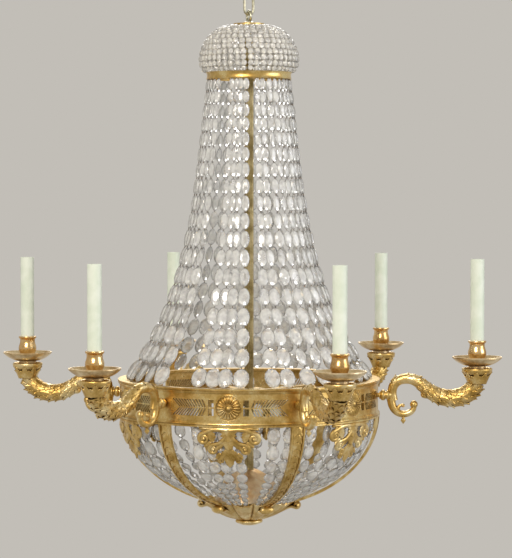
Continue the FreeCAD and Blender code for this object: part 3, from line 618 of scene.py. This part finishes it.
def ring_of_leaves(bm, turn, place, spreads, stand, back, size):
    """Leaves round the arm at a place, sized and set by shares of the arm's radius there."""
    point, along, radius = on_arm(place)
    crown = Vector((0, 1, 0)).cross(along)
    crown = -crown if crown.z < 0 else crown
    length, width, height = (radius * share for share in size)
    for spread in spreads:
        out = Matrix.Rotation(math.radians(spread), 3, along) @ crown
        at = point + Vector((out.x, out.y * ARM_FLAT, out.z)) * radius * stand
        set_on(bm, "leaf", at - along * radius * back, along, out, length, width, height, turn)


def dress_arm(bm, turn):
    """Rows of small acanthus leaves like scales along the S, and bracts on the scroll."""
    step = 360 / ARM_LEAVES
    for row in range(ARM_LEAF_ROWS):
        spreads = [i * step + (row % 2) * step / 2 for i in range(ARM_LEAVES)]
        ring_of_leaves(bm, turn, 5 + row * 0.5, spreads, 0.94, 0.5, (1.25, 0.78, 0.62))
    for place in (2, 3, 4):
        ring_of_leaves(bm, turn, place, (-55, 0, 55), 0.9, 0.4, (1.7, 0.95, 0.8))


CUP_PROFILE = ((0.1, -24), (14.5, -24), (16.5, -19), (18.8, -12), (21.5, -7), (25, -3.5),
               (26.5, 0), (26.4, 2.6), (24.6, 3.8), (22.6, 3.0), (20.5, -1), (15.6, -2.5),
               (15.4, -9.8), (5.4, -9.8), (5.4, -20), (0.1, -20))


def vase_cup():
    """The leaf-sheathed cup under the drip pan, its rim at the origin."""
    bm = bmesh.new()
    spun(bm, CUP_PROFILE, 40)
    for i in range(8):
        for start, size in ((0, 24), (22.5, 17)):
            turn = around_axis(i * 45 + start)
            set_on(bm, "leaf", (14.6, 0, -24), (0.42, 0, 1), (1, 0, -0.42), size, 13, 8, turn)
    return pattern_mesh("vase cup", bm)


NOZZLE_PROFILE = ((5.5, -41.2), (13.2, -41.2), (12.2, -38), (12.0, -34), (13.4, -30),
                  (15.2, -25.5), (15.9, -21.5), (15.4, -17.5), (14.0, -13.5), (13.2, -10),
                  (13.2, -5.6), (14.3, -4.2), (15.5, -3.0), (15.8, -1.7), (15.4, -0.4),
                  (14.0, 0), (12.3, 0), (12.3, -19), (5.5, -19), (5.5, -41.2))


def turn_nozzle(number):
    """One turned nozzle: rolled rim, short neck, swelling body and narrow foot."""
    top = nozzle_high.z
    bm = bmesh.new()
    spun(bm, [(r, top + z) for r, z in NOZZLE_PROFILE], 48)
    place = around_axis(arm_angle(number)) @ Vector((LIGHT_CIRCLE, 0, 0))
    bmesh.ops.translate(bm, verts=bm.verts, vec=place)
    piece = finish_piece(bm, "turned_nozzle_%d" % (number + 1), [nozzle_brass], smooth=True)
    shade_by_angle(piece, 50)
    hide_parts("nozzle_%d" % (number + 1))


# ---- band ---------------------------------------------------------------------------------
BAND_MOULDING = 9.0
PANEL_DEPTH = 3.0
BAND_WALL = 4.0
RAIL = 18.0                                 # width of the inward rails
BAND_MIDDLE = (BAND_TOP + BAND_BOTTOM) / 2
BAND_STEPS = 240                            # round the band
ROSETTE = 22.5                              # radius, with its ring
ROSETTE_RIBS = 20
ROSETTE_PROFILE = ((0.1, 5.0), (2.0, 4.8), (3.4, 3.8), (4.0, 2.6), (8, 3.8), (13, 4.4),
                   (17.5, 3.8), (20.2, 2.0), (20.6, 0.0))
RING_PROFILE = ((20.7, 0), (21.0, 0.9), (21.6, 1.3), (22.2, 0.9), (ROSETTE, 0))
WINDOW_FROM, WINDOW_TO = 6.0, 9.1           # degrees from the rosette's middle
WINDOW_MARGIN = 1.2                         # metal left round a window's field
PALM_FROM, PALM_TO = 10.8, 26.2             # degrees from the rosette's middle, at the edges
PALM_SLOTS = 11
PALM_HALF = 14.6                            # half the height of the pierced palm
PALM_SWEEPS = (6.0, 16.0)                   # how far its middle runs ahead, inner and outer end
SLOT_MARGIN = 0.85                          # half the width of the bars between the slots
PLAIN_COLUMNS = (0.0, 2.0, 4.0, WINDOW_FROM, WINDOW_TO, 27.9, BAY / 2)


def shape_band(bm):
    """The moulded edges, the rails and the inner wall, all spun in one go."""
    panel = BAND - PANEL_DEPTH
    inner = panel - BAND_WALL
    steps = [(BAND, 0), (BAND, 0.3), (BAND - 0.8, 0.36), (BAND - 0.8, 0.44), (BAND, 0.5),
             (BAND - 0.2, 0.62), (BAND - 1.6, 0.78), (BAND - 2.2, 0.9), (panel, 1.0)]
    upper = [(r, BAND_TOP - share * BAND_MOULDING) for r, share in steps]
    lower = [(r, BAND_BOTTOM + share * BAND_MOULDING) for r, share in steps]
    for edge, level, way in ((upper, BAND_TOP, -1), (lower, BAND_BOTTOM, 1)):
        start = (inner, edge[-1][1])
        wall = level + way * BAND_WALL
        spun(bm, [start] + edge[::-1] + [(BAND - RAIL, level), (BAND - RAIL, wall),
                                         (inner, wall), start], BAND_STEPS)


def pierce_panel():
    """The panel of one bay, pierced with two windows and a palm on each side of the rosette.

    Each palm is two rows of slanted slots that meet in a point towards the rosette.
    The sheet is worked flat, pierced, given its wall and then rolled to the band.
    """
    panel = BAND - PANEL_DEPTH
    step = (PALM_TO - PALM_FROM) / PALM_SLOTS
    columns = [*PLAIN_COLUMNS, *(PALM_FROM + step * i for i in range(PALM_SLOTS + 1))]
    columns = sorted({-c for c in columns} | set(columns))
    half = BAND_TOP - BAND_MOULDING - BAND_MIDDLE
    rows = [-half, -PALM_HALF, 0, PALM_HALF, half]
    bm = bmesh.new()
    bmesh.ops.create_grid(bm, x_segments=len(columns) - 1, y_segments=len(rows) - 1, size=0.5)
    at = {}
    for vert in bm.verts:
        angle = columns[round((vert.co.x + 0.5) * (len(columns) - 1))]
        row = rows[round((vert.co.y + 0.5) * (len(rows) - 1))]
        reach = abs(angle)
        in_palm = PALM_FROM - 0.01 <= reach <= PALM_TO + 0.01
        in_window = WINDOW_FROM - 0.01 <= reach <= WINDOW_TO + 0.01
        kind = "palm" if in_palm else "window" if in_window else "plain"
        at[vert] = (kind if abs(row) <= PALM_HALF else "plain", angle > 0)
        run = math.radians(angle) * panel
        if in_palm and row == 0:
            share = (reach - PALM_FROM) / (PALM_TO - PALM_FROM)
            run -= math.copysign(graded(PALM_SWEEPS, min(max(share, 0), 1)), angle)
        vert.co = (run, 0, row)
    bm.normal_update()
    for kind, margin in (("palm", SLOT_MARGIN), ("window", WINDOW_MARGIN)):
        wanted = ({(kind, False)}, {(kind, True)})
        holes = [face for face in bm.faces if {at.get(vert) for vert in face.verts} in wanted]
        bmesh.ops.inset_individual(bm, faces=holes, thickness=margin, use_even_offset=True)
        bmesh.ops.delete(bm, geom=holes, context="FACES")
    bmesh.ops.recalc_face_normals(bm, faces=bm.faces)
    skin = bmesh.ops.extrude_face_region(bm, geom=list(bm.faces))["geom"]
    back = [item for item in skin if isinstance(item, bmesh.types.BMVert)]
    bmesh.ops.translate(bm, verts=back, vec=(0, BAND_WALL, 0))
    for vert in bm.verts:
        radius = panel - vert.co.y
        angle = vert.co.x / panel
        vert.co = (radius * math.cos(angle), radius * math.sin(angle), BAND_MIDDLE + vert.co.z)
    bmesh.ops.recalc_face_normals(bm, faces=bm.faces)
    return pattern_mesh("pierced panel", bm)


def rosette_pattern():
    """A ribbed rosette in a plain ring, facing +X, its back at the origin."""
    bm = bmesh.new()
    spun(bm, ROSETTE_PROFILE, ROSETTE_RIBS * 6)
    for vert in bm.verts:
        reach = math.hypot(vert.co.x, vert.co.y)
        if reach > 6:
            angle = math.atan2(vert.co.y, vert.co.x)
            fold = abs(math.cos(angle * ROSETTE_RIBS / 2))
            vert.co.z *= 0.35 + 0.65 * fold
            vert.co.xy = vert.co.xy * (0.94 + 0.06 * fold)
    spun(bm, RING_PROFILE, 64)
    bmesh.ops.rotate(bm, verts=bm.verts, matrix=Matrix.Rotation(math.pi / 2, 3, "Y"))
    return pattern_mesh("rosette", bm)


def dress_band():
    """The band: its moulded edges with a pierced panel in each bay."""
    bm = bmesh.new()
    shape_band(bm)
    panel = pierce_panel()
    for bay in range(LIGHTS):
        stamp(bm, panel, around_axis(arm_angle(bay) + BAY / 2))
    piece = finish_piece(bm, "pierced_band", [gilt_band])
    shade_by_angle(piece, 35)
    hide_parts("band")


def set_rosettes():
    """Rosettes midway between the arms, let a little into the panel."""
    bm = bmesh.new()
    flower = rosette_pattern()
    seat = Matrix.Translation((BAND - PANEL_DEPTH - 0.5, 0, BAND_MIDDLE))
    for bay in range(LIGHTS):
        stamp(bm, flower, around_axis(arm_angle(bay) + BAY / 2) @ seat)
    piece = finish_piece(bm, "ribbed_rosettes", [gilt_bronze], smooth=True)
    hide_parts("rosettes")


# ---- basket metalwork ---------------------------------------------------------------------
BOWL_DEPTH = 172.0
BOWL_CENTRE = BAND_BOTTOM + 7.0
BOWL_STEPS = 60
STRAP_WIDTHS = (26.0, 22.0, 17.0, 14.0)
STRAP_HUSKS = 17
# The strap's section: height over its ground, at shares of its half width.
STRAP_HEIGHTS = (0.6, 2.4, 2.4, 0.3, 0.0, 0.2, 0.0, 0.3, 2.4, 2.4, 0.6)
STRAP_ACROSS = (-1.0, -0.96, -0.72, -0.66, -0.34, 0.0, 0.34, 0.66, 0.72, 0.96, 1.0)


def bowl_curve(inset):
    """Points (r, z) down the bowl, from the band's edge to the dish."""
    points = []
    start = math.asin((BOWL_CENTRE - BAND_BOTTOM) / (BOWL_DEPTH - inset))
    end = math.acos((DISH + 1) / (BAND - inset))
    for i in range(BOWL_STEPS + 1):
        angle = start + (end - start) * i / BOWL_STEPS
        points.append(((BAND - inset) * math.cos(angle),
                       BOWL_CENTRE - (BOWL_DEPTH - inset) * math.sin(angle)))
    return points


def lay_on_bowl(bm, curve, turn):
    """Bend flat work onto the bowl: X stands off it, Y runs round it, -Z runs down it."""
    points = [Vector((r, 0, z)) for r, z in curve]
    runs = distances_along(points)
    for vert in bm.verts:
        down = min(max(-vert.co.z, 0.0), runs[-1] - 1e-4)
        i = next(k for k, run in enumerate(runs) if run >= down) or 1
        along = (points[i] - points[i - 1]).normalized()
        at = points[i - 1] + along * (down - runs[i - 1])
        out = Vector((-along.z, 0, along.x))
        at = at + out * vert.co.x
        vert.co = turn @ (around_axis(math.degrees(vert.co.y / max(at.x, 60))) @ at)


def strap_pattern(length):
    """One strap worked flat: a channelled strip with husks down its middle."""
    bm = bmesh.new()
    bmesh.ops.create_grid(bm, x_segments=10, y_segments=44, size=0.5)
    for vert in bm.verts:
        i = round((vert.co.x + 0.5) * 10)
        share = 0.5 - vert.co.y
        half = graded(STRAP_WIDTHS, share) / 2
        vert.co = (STRAP_HEIGHTS[i], STRAP_ACROSS[i] * half, -share * length)
    skin = bmesh.ops.extrude_face_region(bm, geom=list(bm.faces))["geom"]
    back = [item for item in skin if isinstance(item, bmesh.types.BMVert)]
    for vert in back:
        vert.co.x = -2.2
    for i in range(STRAP_HUSKS):
        share = (i + 0.1) / STRAP_HUSKS
        half = graded(STRAP_WIDTHS, share) / 2
        down = -share * length
        size = length / STRAP_HUSKS
        for side in (-1, 1):
            set_on(bm, "leaf", (0.1, side * 0.6, down), (0, side * 0.45, -1), (1, 0, 0),
                   size * 1.3, half * 0.74, 6.0)
    bmesh.ops.recalc_face_normals(bm, faces=bm.faces)
    return bm


def curve_length(curve):
    """Length of a run of (r, z) points."""
    return sum(math.dist(a, b) for a, b in zip(curve, curve[1:]))


def strap_basket():
    """Six straps that carry the dish."""
    curve = bowl_curve(2.6)
    length = curve_length(curve)
    whole = bmesh.new()
    for number in range(LIGHTS):
        bm = strap_pattern(length)
        lay_on_bowl(bm, curve, around_axis(arm_angle(number)))
        stamp(whole, pattern_mesh("strap", bm), Matrix())
    piece = finish_piece(whole, "husk_straps", [gilt_bronze], smooth=True)
    shade_by_angle(piece, 40)
    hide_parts("basket_straps")


# Scrolls of a plaque's half: the stem, its volute (centre, start, radius, turns) and its size.
PLAQUE_SCROLLS = (
    ([(2, -5), (16, -3), (32, -4), (43, -11)], ((43, -20), 70, 9, 1.5), 4.0),
    ([(4, -14), (12, -27), (24, -30)], ((27, -39), 70, 8, 1.4), 3.8),
    ([(3, -38), (8, -52), (13, -55)], ((14, -60), 60, 4.5, 1.2), 2.8))
# Leaves of the same half: distance from the middle, height, slant, length and width.
PLAQUE_LEAVES = ((8, -24, 0.9, 22, 10), (5, -40, 0.55, 22, 10), (34, -4, 1.3, 17, 12),
                 (30, -26, 1.6, 15, 9), (31, -7, -0.2, 19, 15), (14, -46, 0.9, 13, 9))
# Leaves down the middle: height, length and width.
PALMETTE_LEAVES = ((-1, 24, 26), (-15, 24, 23), (-36, 36, 22))


def plaque_work():
    """One openwork plaque worked flat, hanging from Z 0: scrolls about a pendant palmette."""
    bm = bmesh.new()
    lie = Matrix(((0, 1, 0, 0), (1, 0, 0, 0), (0, 0, 1, 0), (0, 0, 0, 1)))
    for side in (-1, 1):
        flip = Matrix.Diagonal((1, side, 1, 1)) @ lie
        for stem, end, size in PLAQUE_SCROLLS:
            radii = (size, size * 0.95, size * 0.7, size * 0.9)
            points = stem + volute(*end, way=-1)
            stamp(bm, scroll_mesh(points, radii, 0.8, 8), flip)
        for y, down, tilt, length, width in PLAQUE_LEAVES:
            set_on(bm, "leaf", (0.6, side * y, down), (0, side * tilt, -1), (1, 0, 0),
                   length, width, 7)
        set_on(bm, "ball", (0.5, side * 43, -20), (0, 1, 0), (1, 0, 0), 7, 7, 6)
        set_on(bm, "ball", (0.5, side * 27, -39), (0, 1, 0), (1, 0, 0), 6, 6, 6)
    for down, length, width in PALMETTE_LEAVES:
        set_on(bm, "leaf", (1.0, 0, down), (0, 0, -1), (1, 0, 0), length, width, 9)
    rail = bmesh.new()
    bmesh.ops.create_cube(rail, size=1)
    bmesh.ops.subdivide_edges(rail, edges=[edge for edge in rail.edges if abs(
        edge.verts[0].co.y - edge.verts[1].co.y) > 0.5], cuts=12)
    stamp(bm, pattern_mesh("rail", rail), Matrix.Translation((0, 0, -2.6))
          @ Matrix.Diagonal((3.4, 102, 4.4, 1)))
    return bm


def hang_plaques():
    """An openwork plaque under each rosette."""
    curve = bowl_curve(2.4)
    whole = bmesh.new()
    for bay in range(LIGHTS):
        bm = plaque_work()
        lay_on_bowl(bm, curve, around_axis(arm_angle(bay) + BAY / 2))
        stamp(whole, pattern_mesh("plaque", bm), Matrix())
    piece = finish_piece(whole, "openwork_plaques", [gilt_bronze], smooth=True)
    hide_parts("lattice_plaques")


DISH_LEAVES = 12


def cast_dish():
    """The bottom dish: broad lobed leaves, with a rolled tip under the foot of each strap."""
    bm = bmesh.new()
    rim, floor = dish_high.z, dish_low.z
    outer = [(16, floor), (24, floor + 0.5), (34, floor + 3.2), (42, floor + 6.3),
             (50, floor + 10), (58, floor + 14.3), (65, floor + 18.6), (71, floor + 22.8),
             (76, floor + 26.4), (79.5, rim - 4), (DISH - 0.8, rim - 2.2), (DISH - 0.6, rim - 1)]
    inner = [(79, rim), (72, rim - 3), (60, floor + 19), (46, floor + 12), (30, floor + 7),
             (16, floor + 6), (4.4, floor + 6), (4.4, floor), (16, floor)]
    spun(bm, outer + inner, DISH_LEAVES * 16)
    for vert in bm.verts:
        reach = math.hypot(vert.co.x, vert.co.y)
        if reach > 18:
            angle = math.atan2(vert.co.y, vert.co.x) - math.radians(arm_angle(0))
            lobe = abs(math.cos(angle * DISH_LEAVES / 2))
            vein = math.cos(angle * DISH_LEAVES * 3)
            grow = min(1.0, (reach - 18) / 30)
            vert.co.z += grow * (5.0 * (1 - lobe ** 0.6) - 0.9 * vein * lobe)
            vert.co.xy = vert.co.xy * (1 - 0.06 * grow * (1 - lobe) ** 1.3)
    for number in range(LIGHTS):
        turn = around_axis(arm_angle(number))
        tip = [(36, floor + 6.5), (52, floor + 13.5), (66, floor + 21.5), (76, floor + 26)]
        tip += volute((84, floor + 26.5), -80, 4.4, 1.1)
        stamp(bm, scroll_mesh(tip, (2.4, 4.0, 4.6, 3.8, 3.0), 2.8, 12), turn)
    piece = finish_piece(bm, "leaf_dish", [gilt_bronze], smooth=True)
    shade_by_angle(piece, 50)
    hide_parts("bottom_dish")


patterns = {"crystal": crystal_pattern(), "bead": bead_pattern(), "wire": wire_pattern(),
            "leaf": leaf_pattern(), "ball": ball_pattern()}
hang_tent()
hang_basket()
thread_crown()
dress_band()
set_rosettes()
strap_basket()
hang_plaques()
cast_dish()
for arm in range(LIGHTS):
    cast_arm(arm)
    turn_nozzle(arm)

# ---- finishes of the CAD nodes ------------------------------------------------------------
FINISHES = {
    "pale_steel": plated_wire, "rod_steel": plated_wire, "stem_brass": stem_brass,
    "gilt_bronze": gilt_bronze, "crown_brass": gilt_band, "pan_bronze": pan_bronze,
    "nozzle_brass": nozzle_brass, "holder_resin": phenolic, "sleeve_card": ivory_card,
    "bead_glass": bead_glass, "cut_crystal": crystal}


def finish_nodes():
    """Give every CAD node the finish of its slot."""
    for part in frame["record"]["subparts"]:
        obj = frame["nodes"][part["node"]]
        finish = FINISHES[part["material_slot"]]
        if part["node"] == "inner_dish":
            finish = dome_brass
        if not obj.material_slots:
            obj.data.materials.append(finish)
        for slot in obj.material_slots:
            slot.material = finish


finish_nodes()


# ---- stage, light and camera --------------------------------------------------------------
def area_light(name, place, target, size, power, colour):
    """A soft square lamp aimed at a point."""
    data = bpy.data.lights.new(name, "AREA")
    data.size = size
    data.energy = power
    data.color = linear(colour)[:3]
    lamp = bpy.data.objects.new(name, data)
    lamp.location = place
    lamp.rotation_euler = (Vector(target) - Vector(place)).to_track_quat("-Z", "Y").to_euler()
    bpy.context.collection.objects.link(lamp)


BACKDROP = "#C2BEB7"
FLOOR_DROP = 4.2                            # m, from the dish to the floor
FLOOR_RADIUS = 40.0
FLOOR_FADE = (1.5, 5.0)                     # m from the axis, where it turns into the backdrop


def lay_floor():
    """A pale plain floor well below the chandelier, that fades into the backdrop far off."""
    bm = bmesh.new()
    bmesh.ops.create_circle(bm, cap_ends=True, segments=96, radius=FLOOR_RADIUS)
    bmesh.ops.translate(bm, verts=bm.verts, vec=(0, 0, dish_low.z * MM - FLOOR_DROP))
    mesh = bpy.data.meshes.new("floor")
    bm.to_mesh(mesh)
    bm.free()
    floor = bpy.data.objects.new("floor", mesh)
    bpy.context.collection.objects.link(floor)
    material, tree, bsdf = new_material(
        "pale floor", **{"Roughness": 0.9, "Base Color": linear(BACKDROP)})
    place = add(tree, "ShaderNodeTexCoord").outputs["Object"]
    level = add(tree, "ShaderNodeVectorMath", {0: place, 1: (1, 1, 0)}, operation="MULTIPLY")
    reach = add(tree, "ShaderNodeVectorMath", {0: level.outputs[0]}, operation="LENGTH")
    away = add(tree, "ShaderNodeMapRange",
               {"Value": reach.outputs["Value"], "From Min": FLOOR_FADE[0],
                "From Max": FLOOR_FADE[1]},
               interpolation_type="SMOOTHSTEP")
    far = add(tree, "ShaderNodeEmission", {"Color": linear(BACKDROP), "Strength": 1.0})
    mix = add(tree, "ShaderNodeMixShader", {0: away.outputs[0], 1: bsdf.outputs[0],
                                            2: far.outputs[0]})
    output = next(node for node in tree.nodes if node.type == "OUTPUT_MATERIAL")
    tree.links.new(mix.outputs[0], output.inputs["Surface"])
    mesh.materials.append(material)


def light_world():
    """A pale even world, seen as a plain backdrop by the camera and in metal and glass."""
    world = bpy.data.worlds.new("studio")
    bpy.context.scene.world = world
    world.use_nodes = True
    tree = world.node_tree
    tree.nodes.clear()
    seen = add(tree, "ShaderNodeBackground", {"Color": linear(BACKDROP), "Strength": 1.0})
    fill = add(tree, "ShaderNodeBackground", {"Color": linear("#FFFFFF"), "Strength": 0.45})
    path = add(tree, "ShaderNodeLightPath")
    direct = add(tree, "ShaderNodeMath", {0: path.outputs["Is Camera Ray"],
                                          1: path.outputs["Is Glossy Ray"]}, operation="MAXIMUM")
    shown = add(tree, "ShaderNodeMath", {0: direct.outputs[0],
                                         1: path.outputs["Is Transmission Ray"]},
                operation="MAXIMUM")
    mix = add(tree, "ShaderNodeMixShader", {0: shown.outputs[0],
                                            1: fill.outputs[0], 2: seen.outputs[0]})
    add(tree, "ShaderNodeOutputWorld", {"Surface": mix.outputs[0]})


CAMERA_AZIMUTH = math.radians(-21.25)       # from -Y, towards +X
CAMERA_DISTANCE = 4.0                       # from the axis
EYE_LEVEL = -0.351
AIM_RIGHT = 0.0123                          # the axis stands left of the picture's middle
AIM_Z = -0.5107
LENS = 147                                  # mm, for a sensor 36 mm wide


def set_camera():
    """A long lens at the photograph's angle and height."""
    data = bpy.data.cameras.new("camera")
    data.lens = LENS
    data.sensor_width = 36
    camera = bpy.data.objects.new("camera", data)
    toward = Vector((math.sin(CAMERA_AZIMUTH), -math.cos(CAMERA_AZIMUTH), 0))
    right = Vector((-toward.y, toward.x, 0))
    place = toward * CAMERA_DISTANCE + Vector((0, 0, EYE_LEVEL))
    aim = right * AIM_RIGHT + Vector((0, 0, AIM_Z))
    camera.location = place
    camera.rotation_euler = (aim - place).to_track_quat("-Z", "Y").to_euler()
    bpy.context.collection.objects.link(camera)
    bpy.context.scene.camera = camera


lay_floor()
light_world()
area_light("key", (-2.6, -3.2, 1.6), (0, 0, -0.5), 1.6, 120, "#FFF6EA")
area_light("fill", (2.8, -2.4, 0.2), (0, 0, -0.5), 2.2, 50, "#F4F7FF")
area_light("back", (1.2, 3.0, 1.4), (0, 0, -0.4), 1.8, 60, "#FFFFFF")
set_camera()

bpy.context.scene.view_settings.view_transform = "Standard"
